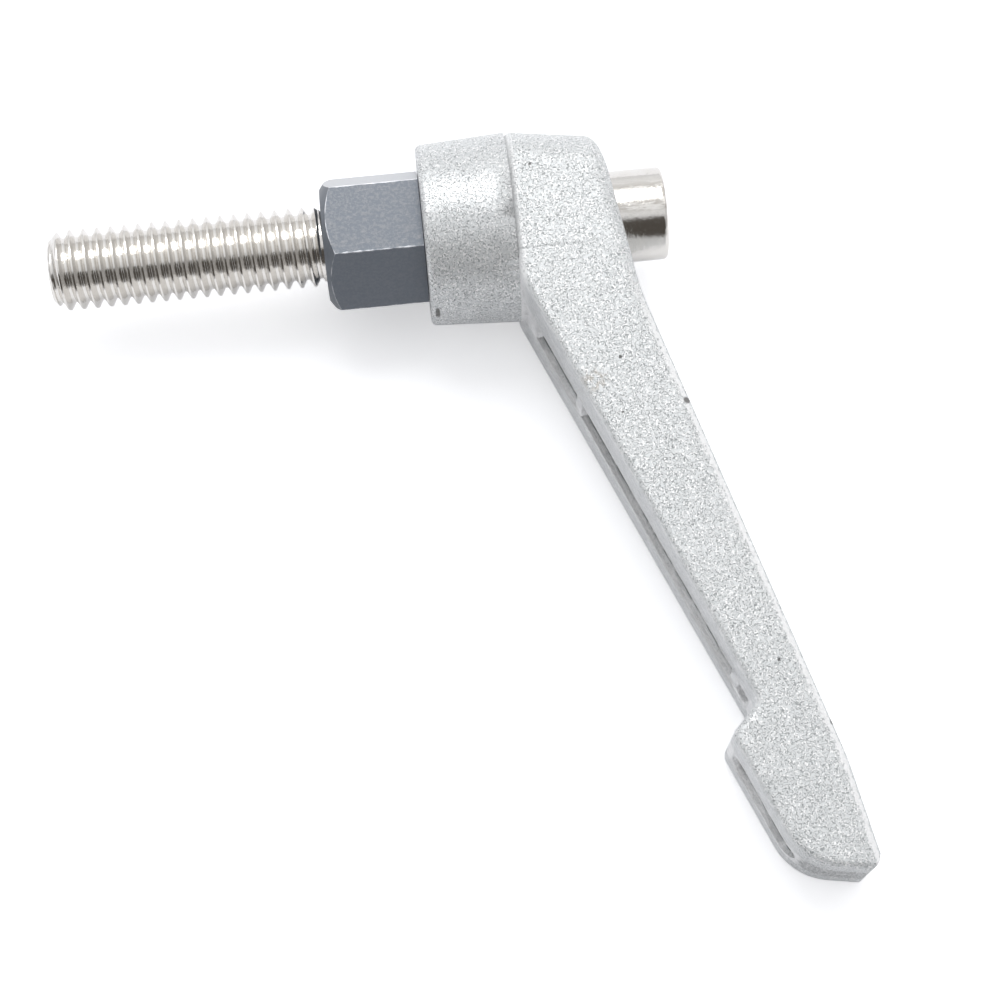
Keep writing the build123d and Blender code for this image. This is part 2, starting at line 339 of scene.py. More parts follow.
class LeverStage(bpy.types.PropertyGroup):
    """The floor, the room, the lamp and the camera."""

    floor_size: FloatProperty(
        name="Floor size", description="Length of the floor's sides", default=3.0, unit="LENGTH"
    )
    floor_glow: FloatProperty(
        name="Floor glow", description="Light the floor adds where the camera sees it", default=0.425
    )
    mirrored_glow: FloatProperty(
        name="Mirrored glow", description="Light the floor adds where gloss mirrors it", default=0.12
    )
    room_strength: FloatProperty(
        name="Room strength", description="Strength of the room's light", default=0.85
    )
    room: FloatVectorProperty(
        name="Room", description="Walls of the room", subtype="COLOR", default=(0.60, 0.60, 0.61)
    )
    overhead: FloatVectorProperty(
        name="Overhead", description="The bright ceiling", subtype="COLOR", default=(1.22, 1.23, 1.25)
    )
    viewer: FloatVectorProperty(
        name="Viewer",
        description="The dark place of the viewer",
        subtype="COLOR",
        default=(0.10, 0.09, 0.08),
    )
    beside: FloatVectorProperty(
        name="Beside", description="The bright window beside", subtype="COLOR", default=(1.5, 1.5, 1.5)
    )
    lamp_place: FloatVectorProperty(
        name="Lamp place",
        description="Middle of the lamp",
        subtype="TRANSLATION",
        default=(0.0, 0.24, 0.46),
    )
    lamp_aim: FloatVectorProperty(
        name="Lamp aim",
        description="What the lamp faces",
        subtype="TRANSLATION",
        default=(0.01, -0.015, 0.0),
    )
    lamp_width: FloatProperty(
        name="Lamp width", description="Diameter of the lamp", default=0.30, unit="LENGTH"
    )
    lamp_power: FloatProperty(name="Lamp power", description="Power of the lamp", default=0.9, unit="POWER")
    lens: FloatProperty(name="Lens", description="Focal length in millimetres", default=95, unit="CAMERA")
    camera_place: FloatVectorProperty(
        name="Camera place",
        description="Where the camera is",
        subtype="TRANSLATION",
        default=(0.00525, -0.08121, 0.17698),
    )
    camera_turn: FloatVectorProperty(
        name="Camera turn",
        description="Which way the camera looks",
        subtype="EULER",
        default=(math.radians(18.87), math.radians(0.252), math.radians(-5.934)),
    )


# Ways in the room, seen from the lever
OVERHEAD_WAY = (0.08, 0.5, 0.862)
VIEWER_WAY = (0.0, -0.85, 0.53)
BESIDE_WAY = (0.61, 0.51, 0.61)
# Marks of use on the near side, in rounded shares: the share of the reach, the share of the way from the
# underside to the top, and the radius
MARKS = (
    (-0.05, 0.55, 0.00012),
    (0.25, 0.5, 0.00014),
    (0.33, 0.25, 0.0001),
    (0.7, 0.6, 0.00012),
    (0.32, 0.95, 0.0003),
    (0.79, 1.0, 0.0003),
    (0.13, -0.8, 0.0002),
)
SMUDGE = (0.28, 0.15)
# The way from the stud's axis to the side of the screw's head that gets the painted dull reflection
REFLECTION_SIDE = (0.0, 0.91, 0.41)
# The painted light streaks' rate of change along the arm, as a share of their rate across it
LIGHT_STREAK_STRETCH = 0.12
# Points closer than this are one point, on a new surface and on a copy of a CAD piece
MERGE = 1e-7
CAD_MERGE = 1e-6
# Edges shorter than this are dissolved
SLIVER = 1e-8
# Edges that turn by more than this stay sharp
THREAD_EDGE = math.radians(50)
WIRE_EDGE = math.radians(60)
CAST_EDGE = math.radians(32)

# ---- Shader maths ---------------------------------------------------------------------------------------


class Value:
    """A socket whose arithmetic adds Math nodes to its board."""

    def __init__(self, board, socket):
        self.board = board
        self.socket = socket

    def _math(self, operation, *terms):
        return self.board.node("ShaderNodeMath", {"operation": operation}, dict(enumerate(terms)))

    def __add__(self, other):
        return self._math("ADD", self, other)

    def __sub__(self, other):
        return self._math("SUBTRACT", self, other)

    def __rsub__(self, other):
        return self._math("SUBTRACT", other, self)

    def __mul__(self, other):
        return self._math("MULTIPLY", self, other)

    def __truediv__(self, other):
        return self._math("DIVIDE", self, other)

    def __rtruediv__(self, other):
        return self._math("DIVIDE", other, self)

    def __pow__(self, other):
        return self._math("POWER", self, other)

    def __abs__(self):
        return self._math("ABSOLUTE", self)

    __radd__ = __add__
    __rmul__ = __mul__

    def least(self, other):
        return self._math("MINIMUM", self, other)

    def most(self, other):
        return self._math("MAXIMUM", self, other)

    def rise(self, low, high):
        """0 below low, 1 above high, and a smooth step between."""
        settings = {"interpolation_type": "SMOOTHSTEP"}
        inputs = {"Value": self, "From Min": low, "From Max": high}
        return self.board.node("ShaderNodeMapRange", settings, inputs)

    def fall(self, low, high):
        """1 below low, 0 above high, and a smooth step between."""
        return 1 - self.rise(low, high)


class Board:
    """A node tree, and the one method that adds nodes to it."""

    def __init__(self, tree):
        self.tree = tree
        tree.nodes.clear()

    def node(self, kind, settings=None, inputs=None, outlet=0):
        """Adds a node, sets its settings and then its sockets, and gives back one of its outlets, if any."""
        made = self.tree.nodes.new(kind)
        for name, value in (settings or {}).items():
            setattr(made, name, value)
        for place, value in (inputs or {}).items():
            if isinstance(value, Value):
                self.tree.links.new(value.socket, made.inputs[place])
            else:
                made.inputs[place].default_value = value
        return Value(self, made.outputs[outlet]) if made.outputs else None

    def place(self):
        """Object coordinates."""
        return self.node("ShaderNodeTexCoord", outlet="Object")

    def axes(self, vector):
        """The three parts of a vector."""
        first = self.node("ShaderNodeSeparateXYZ", None, {0: vector}, "X")
        outputs = first.socket.node.outputs
        return first, Value(self, outputs["Y"]), Value(self, outputs["Z"])

    def stretched(self, vector, scale):
        """A vector with each part scaled."""
        return self.node("ShaderNodeVectorMath", {"operation": "MULTIPLY"}, {0: vector, 1: scale})

    def noise(self, vector, grain, detail=2.0, roughness=0.5, distortion=0.0):
        """Noise from 0 to 1 whose features are about a grain apart."""
        inputs = {
            "Vector": vector,
            "Scale": 1 / grain,
            "Detail": detail,
            "Roughness": roughness,
            "Distortion": distortion,
        }
        return self.node("ShaderNodeTexNoise", {"noise_dimensions": "3D"}, inputs, "Fac")

    def distance(self, vector, point):
        """Distance from a point."""
        return self.node("ShaderNodeVectorMath", {"operation": "DISTANCE"}, {0: vector, 1: point}, "Value")

    def along(self, vector, direction):
        """How far a vector reaches along a direction."""
        settings = {"operation": "DOT_PRODUCT"}
        return self.node("ShaderNodeVectorMath", settings, {0: vector, 1: direction}, "Value")

    def blend(self, share, first, second):
        """A colour between two colours."""
        colours = [c if isinstance(c, Value) else (*c, 1.0) for c in (first, second)]
        inputs = {0: share, 6: colours[0], 7: colours[1]}
        return self.node("ShaderNodeMix", {"data_type": "RGBA"}, inputs, 2)

    def coated(self, colour, rough, metallic, height, relief):
        """Ends the board in a surface of this colour, whose height stands out by the relief."""
        normal = self.node("ShaderNodeBump", None, {"Height": height, "Distance": relief}, "Normal")
        inputs = {"Base Color": colour, "Roughness": rough, "Metallic": metallic, "Normal": normal}
        surface = self.node("ShaderNodeBsdfPrincipled", None, inputs, "BSDF")
        self.node("ShaderNodeOutputMaterial", None, {"Surface": surface})


def new_material(name):
    """An empty material and its board."""
    material = bpy.data.materials.new(name)
    material.use_nodes = True
    return material, Board(material.node_tree)


def place_on_side(sizes, reach_share, width_share):
    """A place on the lever's side, as distance down the arm and along the stud, from its share of the reach
    and its share of the way from the arm's underside to its top.
    """
    down = reach_share * -LEVER_LOW.y / math.cos(sizes.lean)
    low = sizes.underside_start + down * math.tan(sizes.arm_angle)
    high = sizes.toe_top - (sizes.toe_top_reach - down) * math.tan(sizes.arm_top_angle)
    return (down, low + width_share * (high - low), 0.0)


def paint_hollow_light_and_shade(coat, colour, sizes, finishes, x, across, down, arm):
    """Paints streaks of sheen on the underside along the arm, painted light in its hollows and on their rims
    and painted shade on the hollows' floors, all broken by the streaks. The depth is measured from the
    underside's slanted plane, which steps nearer the hub at the toe. Gives back the colour and the mask of
    the hollows.
    """
    toe = down.rise(sizes.neck_reach, sizes.neck_reach + sizes.neck_length)
    depth = x - down * math.tan(sizes.arm_angle) - sizes.underside_start + toe * sizes.toe_step
    grain = coat.node("ShaderNodeCombineXYZ", None, {0: down * LIGHT_STREAK_STRETCH, 1: across, 2: depth})
    # Streaks of painted light and shade, stretched along the arm
    light_streak = coat.noise(grain, sizes.light_streak_grain, 3.0, 0.65, 0.2).rise(0.44, 0.58)
    half = sizes.channel_width / 2
    floored = depth.fall(sizes.channel_depth, sizes.channel_depth + 0.0003)
    hollow = across.fall(half + 0.00002, half + 0.0001) * arm * floored
    hollow_floor_shade = hollow * depth.rise(0.00035, 0.0006)
    land = depth.fall(0.00005, 0.0003) * arm
    lip = across.fall(half + 0.0001, half + 0.0004) * land
    colour = coat.blend(land * 0.7, colour, finishes.coat)
    # Painted sheen in streaks on the land, painted light in the hollows and on their rims, painted shade on
    # the hollows' floors
    colour = coat.blend(land * light_streak * 0.55, colour, finishes.flake_and_painted_light)
    colour = coat.blend(hollow.most(lip) * (0.45 + light_streak * 0.5), colour, finishes.flake_and_painted_light)
    colour = coat.blend(hollow_floor_shade * (0.9 - light_streak * 0.7), colour, finishes.furrow)
    return colour, hollow


def paint_edge_light_and_shade(coat, colour, sizes, finishes, place, x, down, arm):
    """Paints light into the shaded corner between the collar and the flat, a painted highlight on the
    rounded edge along the arm's top and a faint painted shade line along the ridge where the round hub ends.
    The top is the lower of the arm's and the toe's slants.
    """
    # Painted light in the corner between the collar and the flat, where the crease is shaded
    corner = arm * x.fall(sizes.collar_top + 0.00015, sizes.collar_top + 0.0007)
    colour = coat.blend(corner * 0.55, colour, finishes.flake_and_painted_light)
    top = sizes.toe_top - (sizes.toe_top_reach - down) * math.tan(sizes.arm_top_angle)
    top = top.least(sizes.toe_top + (down - sizes.toe_top_reach) * math.tan(sizes.toe_angle))
    ragged = coat.noise(place, sizes.edge_grain, 3.0, 0.65) - 0.5
    inset = top - x
    outer = (inset + ragged * 0.0006).rise(0.00018, 0.0003)
    inner = (inset + ragged * 0.0014).fall(0.0005, 0.0007)
    # Painted highlight on the rounded edge along the arm's top
    colour = coat.blend(outer * inner * down.rise(0.004, 0.012) * 0.85, colour, finishes.flake_and_painted_light)
    # Painted shade line along the ridge where the round hub ends
    ridge = abs(down + ragged * 0.0003 - sizes.ridge_reach).fall(0.00005, 0.00012) * arm
    return coat.blend(ridge * x.fall(0.017, 0.020) * 0.3, colour, finishes.furrow)


def mark_use(coat, colour, sizes, finishes, place, x, down):
    """Puts the pits, nicks and smudge on the near side. Gives back the colour and the mask of the pits."""
    side = coat.node("ShaderNodeCombineXYZ", None, {0: down, 1: x})
    near = coat.along(place, (0.0, 0.0, 1.0)).rise(0.0, 0.0005)
    pits = 0.0
    for reach_share, width_share, radius in MARKS:
        point = place_on_side(sizes, reach_share, width_share)
        pits = coat.distance(side, point).fall(radius * 0.55, radius) * near + pits
    pits = pits.least(1.0)
    ragged = coat.noise(place, sizes.edge_grain, 3.0, 0.7).rise(0.45, 0.6)
    smudge = coat.distance(side, place_on_side(sizes, *SMUDGE)).fall(0.0003, 0.0013) * ragged * near
    colour = coat.blend(smudge * 0.55, colour, finishes.smudge)
    return coat.blend(pits * 0.85, colour, finishes.pit), pits


def hammertone(sizes, finishes):
    """Silver hammertone: light beads and dark furrows side by side along the level lines of a noise,
    smoother on the turned collar, with painted light and shade in the hollows and along some edges, and a
    few marks of use.
    """
    material, coat = new_material("silver_hammertone")
    place = coat.place()
    x = coat.along(place, (1.0, 0.0, 0.0))
    across = abs(coat.along(place, (0.0, -math.sin(sizes.lean), math.cos(sizes.lean))))
    down = coat.along(place, (0.0, -math.cos(sizes.lean), -math.sin(sizes.lean)))
    arm = x.rise(sizes.collar_top, sizes.collar_top + 0.00003)
    winding = coat.noise(place, sizes.hammer_grain, 0.6, 0.5, 0.5)
    bead = abs(winding - 0.47).fall(0.035, 0.055)
    furrow = abs(winding - 0.56).fall(0.025, 0.045)
    fine = coat.noise(place, sizes.hammer_grain * 0.45, 2.0, 0.6)
    cloud = coat.noise(place, 0.005, 2.0)
    colour = coat.blend(furrow * (0.5 + cloud * 0.3), finishes.coat, finishes.furrow)
    colour = coat.blend(bead * 0.95, colour, finishes.flake_and_painted_light)
    colour, hollow = paint_hollow_light_and_shade(coat, colour, sizes, finishes, x, across, down, arm)
    colour = paint_edge_light_and_shade(coat, colour, sizes, finishes, place, x, down, arm)
    colour, pits = mark_use(coat, colour, sizes, finishes, place, x, down)
    rough = 0.40 + arm * 0.10 + furrow * 0.10 - bead * 0.06 + (cloud - 0.5) * 0.06 - hollow * 0.15
    height = bead * 0.5 - furrow * 0.4 + fine * 0.2 - pits * 2.0
    coat.coated(colour, rough, 0.42 - arm * 0.07, height, 0.00004)
    return material


def worn_edges(steel, sizes, place, faces):
    """A mask of the hexagon's six long edges and the rim of its chamfer, ragged and worn off in places. The
    faces are the place's distances along the three directions square to the facets.
    """
    x, y, z = steel.axes(place)
    half = sizes.hex_across_flats / 2
    spans = [abs(face) for face in faces]
    highest = spans[0].most(spans[1]).most(spans[2])
    lowest = spans[0].least(spans[1]).least(spans[2])
    second = spans[0] + spans[1] + spans[2] - highest - lowest
    ragged = steel.noise(place, 0.0003, 3.0, 0.7) - 0.5
    on_facet = highest.rise(half - 0.00004, half - 0.00001)
    ridge = (second + ragged * 0.00016).rise(half - 0.00008, half - 0.00003)
    radius = ((y * y) + (z * z)) ** 0.5
    arc = sizes.hex_face / 2 + x / math.tan(sizes.hex_chamfer) - radius
    rim = (arc + ragged * 0.0002).fall(0.00002, 0.00009) * on_facet
    return ridge.most(rim) * steel.noise(place, 0.0009, 2.0).rise(0.35, 0.6)


def black_oxide(sizes, finishes):
    """Black oxide on steel, finely mottled, with painted light, broken by mottle and scuffs, on the facet
    facing up and the one opposite, a painted highlight on the facet turned up to the back and the one
    opposite, and worn bright along the edges of the hexagon and of its chamfer.
    """
    material, steel = new_material("black_oxide")
    place = steel.place()
    half = sizes.hex_across_flats / 2
    faces = []
    for turn in range(3):
        angle = sizes.hex_roll + math.radians(30 + 60 * turn)
        faces.append(steel.along(place, (0.0, math.cos(angle), math.sin(angle))))
    edge = worn_edges(steel, sizes, place, faces)
    mottle = steel.noise(place, 0.00024, 4.0, 0.7)
    scuff = steel.noise(steel.stretched(place, (0.3, 1.0, 1.0)), 0.00016, 3.0, 0.7)
    # Painted light on the facet facing up and the one opposite
    lit_upward_facet = faces[1].rise(half - 0.00005, half - 0.00002)
    # Painted highlight on the facet turned up to the back and the one opposite
    lit_back_facet = faces[0].rise(half - 0.00005, half - 0.00002)
    tint = steel.blend(mottle.rise(0.35, 0.7) * 0.25, finishes.oxide, finishes.mottle_and_facet_light)
    # Painted light on the facet facing up, broken by mottle and scuffs
    mottle_and_facet_light = lit_upward_facet * (mottle.rise(0.46, 0.62) * 0.45 + scuff.rise(0.57, 0.68) * 0.5)
    tint = steel.blend(mottle_and_facet_light, tint, finishes.mottle_and_facet_light)
    # The painted highlight on the facet turned up to the back
    tint = steel.blend(lit_back_facet * 0.8, tint, finishes.wear_and_facet_light)
    tint = steel.blend(edge * 0.6, tint, finishes.wear_and_facet_light)
    rough = 0.42 + (mottle - 0.5) * 0.2 - edge * 0.12
    height = mottle * (0.2 + lit_upward_facet * 0.8) + scuff * lit_upward_facet * 0.6
    steel.coated(tint, rough, 0.45, height, 0.000012)
    return material


def nickel(finishes):
    """Bright nickel plate over turned steel: fine marks round the axis, a faint warm haze and small specks,
    and a painted dull reflection in streaks along the upper back side of the screw's head.
    """
    material, plate = new_material("bright_nickel")
    place = plate.place()
    turned = plate.noise(plate.stretched(place, (1.0, 0.08, 0.08)), 0.00009, 2.0, 0.6)
    uneven = plate.noise(plate.stretched(place, (1.0, 0.5, 0.5)), 0.00028, 3.0, 0.65)
    haze = plate.noise(place, 0.0011, 3.0, 0.6)
    specks = plate.noise(place, 0.0002, 3.0, 0.7).rise(0.60, 0.72)
    tint = plate.blend(haze.rise(0.35, 0.7) * 0.4, finishes.nickel, finishes.haze)
    tint = plate.blend(specks * 0.3, tint, finishes.speck_and_reflection)
    side = plate.along(place, REFLECTION_SIDE)
    x = plate.along(place, (1.0, 0.0, 0.0))
    reflection_streaks = plate.noise(plate.stretched(place, (0.25, 1.0, 1.0)), 0.00035, 3.0, 0.65).rise(0.38, 0.56)
    head = x.rise(SPRING_HIGH.x - 0.0001, SPRING_HIGH.x + 0.0001)
    # Painted dull reflection, warm and in streaks, on the upper back side of the screw's head
    painted_dull_reflection = side.rise(0.0, 0.0005) * side.fall(0.0020, 0.0026) * head * reflection_streaks
    tint = plate.blend(painted_dull_reflection * 0.85, tint, finishes.speck_and_reflection)
    rough = 0.09 + turned * 0.10 + specks * 0.12
    height = turned + uneven * 2.0 + specks * 0.5
    plate.coated(tint, rough, 1.0, height, 0.000007)
    return material


def drawn_wire(finishes):
    """Drawn spring wire: dull steel with fine lengthwise marks and a trace of oil."""
    material, wire = new_material("drawn_wire")
    place = wire.place()
    marks = wire.noise(place, 0.00012, 3.0, 0.6)
    oil = wire.noise(place, 0.0009, 2.0)
    tint = wire.blend(oil.rise(0.4, 0.7) * 0.4, finishes.wire, finishes.oil)
    wire.coated(tint, 0.28 + marks * 0.2, 1.0, marks, 0.000004)
    return material


# ---- Surfaces -------------------------------------------------------------------------------------------


def grid_faces(rows, columns):
    """Quads between neighbouring points of a grid numbered row by row."""
    start = (np.arange(rows - 1)[:, None] * columns + np.arange(columns - 1)[None, :]).ravel()
    return np.stack([start, start + 1, start + columns + 1, start + columns], axis=1)


@contextmanager
def worked(mesh, source=None):
    """A mesh opened for work, from its own points or from another mesh's, and written back."""
    work = bmesh.new()
    work.from_mesh(source or mesh)
    yield work
    work.to_mesh(mesh)
    work.free()


def places_of(mesh):
    """Where a mesh's points are, a row each."""
    flat = np.empty(3 * len(mesh.vertices))
    mesh.vertices.foreach_get("co", flat)
    return flat.reshape(-1, 3)


def add_piece(mesh, sharp_angle):
    """An object of a mesh's name, smooth except at sharp edges."""
    mesh.polygons.foreach_set("use_smooth", [True] * len(mesh.polygons))
    mesh.set_sharp_from_angle(angle=sharp_angle)
    piece = bpy.data.objects.new(mesh.name, mesh)
    bpy.context.scene.collection.objects.link(piece)
    return piece


def clear_of_axis(points, faces, core):
    """The quads with no corner within core of the X axis, and their points."""
    clear = np.hypot(points[:, 1], points[:, 2]) >= core
    kept, corners = np.unique(faces[clear[faces].all(axis=1)], return_inverse=True)
    return points[kept], corners.reshape(-1, 4)


def closed_mesh(name, points, faces):
    """A mesh from points and quads, merged where they meet, with one flat face over each hole left."""
    mesh = bpy.data.meshes.new(name)
    mesh.from_pydata(points.tolist(), [], faces.tolist())
    with worked(mesh) as work:
        bmesh.ops.remove_doubles(work, verts=work.verts, dist=MERGE)
        bmesh.ops.dissolve_degenerate(work, dist=SLIVER, edges=work.edges)
        bmesh.ops.holes_fill(work, edges=work.edges, sides=0)
        bmesh.ops.recalc_face_normals(work, faces=work.faces)
    return mesh


def thread_points(sizes):
    """A right-hand thread along X. Each row keeps its place in the profile and climbs one pitch in a turn:
    x = start + step * row + pitch * angle / full turn. The radius is the root's over each root's flat, rises
    along the flank from either end of the flat, and is held under the crest, under the cone of the tip and,
    inside the insert, under the grip. Past either end the points stay on the end's plane and their radius
    falls to nothing, which closes the end.
    """
    pitch = sizes.thread_pitch
    steps = sizes.profile_points
    turns = sizes.thread_segments
    low, high = STUD_LOW.x, STUD_HIGH.x
    spare = pitch * sizes.spare_turns
    rows = int(math.ceil((high - low + 2 * spare) / pitch)) * steps
    row = np.arange(rows)[:, None]
    angle = 2 * math.pi * np.arange(turns + 1)[None, :] / turns
    raw = low - spare + row * pitch / steps + pitch * angle / (2 * math.pi)
    x = np.clip(raw, low, high)
    phase = np.abs((row / steps + 0.5) % 1.0 - 0.5) * pitch
    root = sizes.thread_root / 2
    crest = sizes.thread_crest / 2
    flank = root + np.maximum(phase - pitch * sizes.root_flat, 0) * math.tan(sizes.flank_angle)
    cone = STUD_HIGH.z - sizes.thread_chamfer + (x - low)
    neck = sizes.thread_grip / 2 + np.maximum(-sizes.thread_relief - x, 0)
    radius = np.minimum(np.minimum(flank, crest), np.minimum(cone, neck))
    past = np.maximum(low - raw, 0) + np.maximum(raw - high, 0)
    radius = np.maximum(radius - past, 0)
    return np.stack([x, radius * np.cos(angle), radius * np.sin(angle)], axis=-1)


def thread_mesh(sizes):
    """The thread's grid with its last column dropped, because after a turn it is the first, a pitch on."""
    points = thread_points(sizes)
    rows, columns = points.shape[:2]
    points = points[:, :-1].reshape(-1, 3)
    width = columns - 1
    index = np.arange(rows * width).reshape(rows, width)
    body = np.stack([index[:-1, :-1], index[:-1, 1:], index[1:, 1:], index[1:, :-1]], axis=-1).reshape(-1, 4)
    shift = sizes.profile_points
    last = index[: rows - shift, -1]
    first = index[shift:, 0]
    seam = np.stack([last[:-1], first[:-1], first[1:], last[1:]], axis=-1)
    return points, np.concatenate([body, seam])


def spring_mesh(sizes):
    """A round wire carried along a right-hand helix whose climb eases in and out, so that both end turns
    close up: x follows share - ease * sin(full turn * share), where the share runs from 0 to 1 along the
    wire, and the ends narrow to a point.
    """
    steps, sides = sizes.spring_steps, sizes.wire_sides
    share = np.linspace(0, 1, steps)
    wire = sizes.wire_diameter / 2
    radius = SPRING_HIGH.z - wire
    low, high = SPRING_LOW.x + wire, SPRING_HIGH.x - wire
    climb = share - sizes.spring_ease * np.sin(2 * math.pi * share)
    x = low + (high - low) * climb
    angle = 2 * math.pi * sizes.spring_turns * share
    centre = np.stack([x, radius * np.cos(angle), radius * np.sin(angle)], axis=1)
    tangent = np.gradient(centre, axis=0)
    tangent /= np.linalg.norm(tangent, axis=1, keepdims=True)
    outward = np.stack([np.zeros_like(x), np.cos(angle), np.sin(angle)], axis=1)
    side = np.cross(tangent, outward)
    side /= np.linalg.norm(side, axis=1, keepdims=True)
    thickness = wire * np.sqrt(np.clip(np.minimum(share, 1 - share) / sizes.wire_taper, 0, 1))
    around = np.linspace(0, 2 * math.pi, sides + 1)
    ring = outward[:, None] * np.cos(around)[None, :, None] + side[:, None] * np.sin(around)[None, :, None]
    points = centre[:, None] + ring * thickness[:, None, None]
    return points.reshape(-1, 3), grid_faces(steps, sides + 1)


def cut_along_rays(work, down, along, centre, sizes):
    """Cuts the faces near the tip along radii of its arc, so that the flat sides have points to move."""
    arc = math.pi / 2 + sizes.toe_angle
    reach = centre.dot(down) + sizes.tip_radius
    for step in range(sizes.tip_cuts + 1):
        turn = arc * step / sizes.tip_cuts
        square = along * math.cos(turn) - down * math.sin(turn)
        faces = [face for face in work.faces if face.calc_center_median().dot(down) > reach - sizes.tip_zone]
        edges = dict.fromkeys(edge for face in faces for edge in face.edges)
        corners = dict.fromkeys(corner for face in faces for corner in face.verts)
        geometry = [*faces, *edges, *corners]
        bmesh.ops.bisect_plane(work, geom=geometry, dist=MERGE, plane_co=centre, plane_no=square)


def rounded_lever(sizes):
    """A copy of the cast lever whose tip is rounded across its width. In the side view, measured from the
    arc's centre down the arm and along the stud, a point past the centre both ways and outside the arc moves
    straight on to it: (out, up) becomes radius * (out, up) / length of (out, up).
    """
    down = Vector((0.0, -math.cos(sizes.lean), -math.sin(sizes.lean)))
    along = Vector((1.0, 0.0, 0.0))
    slant, radius = sizes.toe_angle, sizes.tip_radius
    mesh = bpy.data.meshes.new("cast_lever")
    with worked(mesh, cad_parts["lever_handle"].data) as work:
        bmesh.ops.remove_doubles(work, verts=work.verts, dist=CAD_MERGE)
    places = places_of(mesh)
    # The centre lies a radius inside the end of the toe and a radius under its top
    reach = float((places @ np.array(down)).max())
    level = LEVER_HIGH.x - radius * math.tan(slant) - radius / math.cos(slant)
    centre = down * (reach - radius) + along * level
    with worked(mesh) as work:
        cut_along_rays(work, down, along, centre, sizes)
    places = places_of(mesh)
    out = (places - np.array(centre)) @ np.array(down)
    up = (places - np.array(centre)) @ np.array(along)
    span = np.hypot(out, up)
    moved = (out > 0) & (up > 0) & (span > radius)
    shift = np.where(moved, radius / np.maximum(span, radius) - 1, 0)
    places += (out * shift)[:, None] * np.array(down) + (up * shift)[:, None] * np.array(along)
    mesh.vertices.foreach_set("co", places.ravel())
    with worked(mesh) as work:
        bmesh.ops.triangulate(work, faces=[face for face in work.faces if len(face.verts) > 4])
    piece = add_piece(mesh, CAST_EDGE)
    evened = piece.modifiers.new("even_shading", "WEIGHTED_NORMAL")
    evened.keep_sharp = True
    evened.weight = 80
    return piece


def refinish(node, material):
    """Puts a material in every slot of a carried-over node."""
    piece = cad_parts[node]
    if not piece.material_slots:
        piece.data.materials.append(material)
    for holder in piece.material_slots:
        holder.material = material


# ---- Operators ------------------------------------------------------------------------------------------


class LEVER_OT_threaded_stud(bpy.types.Operator):
    """Cut the stud's thread and plate it with nickel."""

    bl_idname = "clamping_lever.threaded_stud"
    bl_label = "Threaded stud"

    def execute(self, context):
        sizes = context.scene.lever_sizes
        points, faces = thread_mesh(sizes)
        points, faces = clear_of_axis(points, faces, sizes.thread_core)
        piece = add_piece(closed_mesh("stud_thread", points, faces), THREAD_EDGE)
        piece.data.materials.append(nickel(context.scene.lever_finishes))
        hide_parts("threaded_stud")
        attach(piece, "clamp_stud")
        return {"FINISHED"}


class LEVER_OT_hex_insert(bpy.types.Operator):
    """Blacken the hexagonal insert and wear its edges."""

    bl_idname = "clamping_lever.hex_insert"
    bl_label = "Hexagonal insert"

    def execute(self, context):
        refinish("hex_insert", black_oxide(context.scene.lever_sizes, context.scene.lever_finishes))
        return {"FINISHED"}


class LEVER_OT_retaining_screw(bpy.types.Operator):
    """Plate the retaining screw with nickel."""

    bl_idname = "clamping_lever.retaining_screw"
    bl_label = "Retaining screw"

    def execute(self, context):
        refinish("retaining_screw", nickel(context.scene.lever_finishes))
        return {"FINISHED"}


class LEVER_OT_compression_spring(bpy.types.Operator):
    """Wind the spring under the screw's head."""

    bl_idname = "clamping_lever.compression_spring"
    bl_label = "Compression spring"

    def execute(self, context):
        sizes = context.scene.lever_sizes
        points, faces = spring_mesh(sizes)
        piece = add_piece(closed_mesh("spring_coil", points, faces), WIRE_EDGE)
        piece.data.materials.append(drawn_wire(context.scene.lever_finishes))
        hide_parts("compression_spring")
        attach(piece, "spring")
        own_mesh(piece)
        return {"FINISHED"}


class LEVER_OT_lever_handle(bpy.types.Operator):
    """Round the tip of the cast lever and coat it with silver hammertone."""

    bl_idname = "clamping_lever.lever_handle"
    bl_label = "Lever"

    def execute(self, context):
        sizes = context.scene.lever_sizes
        piece = rounded_lever(sizes)
        piece.data.materials.append(hammertone(sizes, context.scene.lever_finishes))
        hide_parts("lever_handle")
        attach(piece, "lever")
        return {"FINISHED"}


